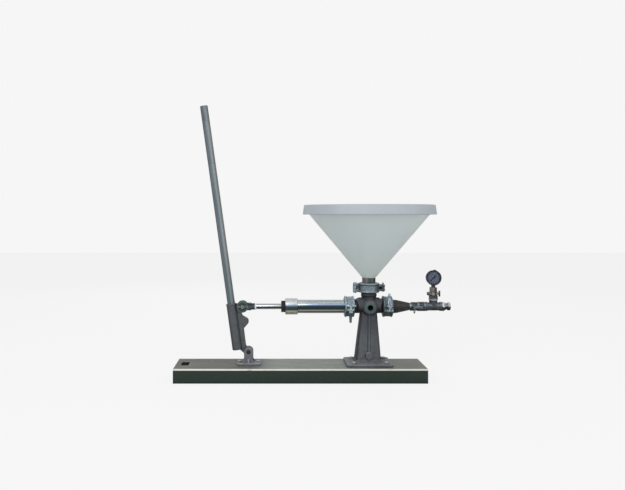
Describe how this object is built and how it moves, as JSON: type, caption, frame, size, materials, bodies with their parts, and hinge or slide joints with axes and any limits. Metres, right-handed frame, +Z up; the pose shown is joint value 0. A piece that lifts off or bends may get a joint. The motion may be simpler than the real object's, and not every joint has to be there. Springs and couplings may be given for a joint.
{
  "type": "hand grout pump",
  "caption": "Hand-operated piston grout pump with lever, steel cylinder, plastic hopper, lever clamps and pressure gauge on a steel channel base.",
  "frame": {"origin": "on the floor under the middle of the part", "axes": "+Z up, +X towards the outlet, -Y faces the operator's side with the gauge dial"},
  "size_m": [1.2442, 0.5999, 1.2373],
  "materials": {
    "channel_paint": "satin",
    "cast_metal": "satin",
    "body_casting": "satin",
    "plug_metal": "satin",
    "handle_steel": "satin",
    "chrome_tube": "polished",
    "cap_aluminium": "satin",
    "black_plastic": "matte",
    "zinc_steel": "satin",
    "bolt_steel": "satin",
    "reducer_metal": "satin",
    "galvanised": "satin",
    "neck_steel": "satin",
    "hopper_plastic": "satin",
    "seal_rubber": "matte",
    "brass": "satin",
    "gauge_dark": "gloss",
    "dial_face": "matte",
    "lens_glass": "polished"
  },
  "bodies": {
    "pump": {"base_channel": "channel_paint", "base_bolts": "bolt_steel", "base_nuts": "bolt_steel", "pump_body": "body_casting", "cleanout_plug": "plug_metal", "cylinder_tube": "chrome_tube", "cylinder_cap": "cap_aluminium", "rod_gland": "black_plastic", "rod_packing": "seal_rubber", "pivot_bracket": "cast_metal", "pivot_pin": "bolt_steel", "clamp_pins": "zinc_steel", "clamp_gaskets": "seal_rubber", "hopper": "hopper_plastic", "hopper_neck": "neck_steel", "suction_seat": "bolt_steel", "discharge_seat": "bolt_steel", "valve_stop_pins": "bolt_steel", "reducer": "reducer_metal", "outlet_nipple": "galvanised", "cam_coupler": "galvanised", "cam_arm_pins": "bolt_steel", "coupler_gasket": "seal_rubber", "tee_adapter": "galvanised", "tee": "galvanised", "hose_adapter": "galvanised", "branch_bushing": "galvanised", "gauge_cock_body": "neck_steel", "gauge_coupling": "neck_steel", "gauge_stem": "brass", "gauge_fill_plug": "black_plastic", "gauge_case": "gauge_dark", "gauge_bezel": "gauge_dark", "gauge_dial": "dial_face", "gauge_lens": "lens_glass", "cylinder_clamp_ear_half": "zinc_steel", "cylinder_clamp_catch_half": "zinc_steel", "hopper_clamp_ear_half": "zinc_steel", "hopper_clamp_catch_half": "zinc_steel", "outlet_clamp_ear_half": "zinc_steel", "outlet_clamp_catch_half": "zinc_steel"},
    "lever": {"lever_casting": "cast_metal", "handle_pipe": "handle_steel", "handle_set_screw": "bolt_steel"},
    "piston_rod": {"piston_rod": "chrome_tube", "piston_plates": "bolt_steel", "piston_cups": "seal_rubber", "rod_clevis": "cast_metal", "clevis_pin": "bolt_steel", "clevis_cotter": "brass"},
    "suction_ball": {"suction_ball": "seal_rubber"},
    "discharge_ball": {"discharge_ball": "seal_rubber"},
    "cylinder_clamp_lever": {"cylinder_clamp_lever": "zinc_steel"},
    "hopper_clamp_lever": {"hopper_clamp_lever": "zinc_steel"},
    "outlet_clamp_lever": {"outlet_clamp_lever": "zinc_steel"},
    "cam_arm_front": {"cam_arm_front": "galvanised"},
    "cam_arm_rear": {"cam_arm_rear": "galvanised"},
    "gauge_cock_plug": {"gauge_cock_plug": "zinc_steel", "gauge_cock_nut": "bolt_steel"},
    "gauge_pointer": {"gauge_pointer": "black_plastic"}
  },
  "joints": [
    {"name": "lever_swing", "type": "hinge", "parent": "pump", "child": "lever", "pos_m": [-0.2927, 0, 0.1196], "axis": [0, 1, 0], "range_deg": [-13.4, 29.2]},
    {"name": "rod_stroke", "type": "slide", "parent": "pump", "child": "piston_rod", "axis": [1, 0, 0], "range_m": [-0.0495, 0.1077]},
    {"name": "suction_ball_lift", "type": "slide", "parent": "pump", "child": "suction_ball", "axis": [0, 0, 1], "range_m": [0, 0.014]},
    {"name": "discharge_ball_lift", "type": "slide", "parent": "pump", "child": "discharge_ball", "axis": [1, 0, 0], "range_m": [0, 0.009]},
    {"name": "cylinder_clamp_opening", "type": "hinge", "parent": "pump", "child": "cylinder_clamp_lever", "pos_m": [0.1635, -0.0625, 0.3346], "axis": [-1, 0, 0], "range_deg": [0, 110]},
    {"name": "hopper_clamp_opening", "type": "hinge", "parent": "pump", "child": "hopper_clamp_lever", "pos_m": [0.316, -0.011, 0.4096], "axis": [0, 0, -1], "range_deg": [0, 110]},
    {"name": "outlet_clamp_opening", "type": "hinge", "parent": "pump", "child": "outlet_clamp_lever", "pos_m": [0.3365, -0.0625, 0.3126], "axis": [1, 0, 0], "range_deg": [0, 110]},
    {"name": "front_cam_opening", "type": "hinge", "parent": "pump", "child": "cam_arm_front", "pos_m": [0.4885, -0.026, 0.3236], "axis": [0, 0, 1], "range_deg": [0, 110]},
    {"name": "rear_cam_opening", "type": "hinge", "parent": "pump", "child": "cam_arm_rear", "pos_m": [0.4885, 0.026, 0.3236], "axis": [0, 0, -1], "range_deg": [0, 110]},
    {"name": "gauge_cock_turn", "type": "hinge", "parent": "pump", "child": "gauge_cock_plug", "pos_m": [0.5466, 0, 0.382], "axis": [1, 0, 0], "range_deg": [0, 90]},
    {"name": "gauge_needle", "type": "hinge", "parent": "pump", "child": "gauge_pointer", "pos_m": [0.5466, 0, 0.4545], "axis": [0, 1, 0], "range_deg": [0, 270], "stiffness_Nm_per_rad": 0.002}
  ],
  "couplings": [
    {"joint": "rod_stroke", "follows": "lever_swing", "m_per_rad": 0.211}
  ]
}
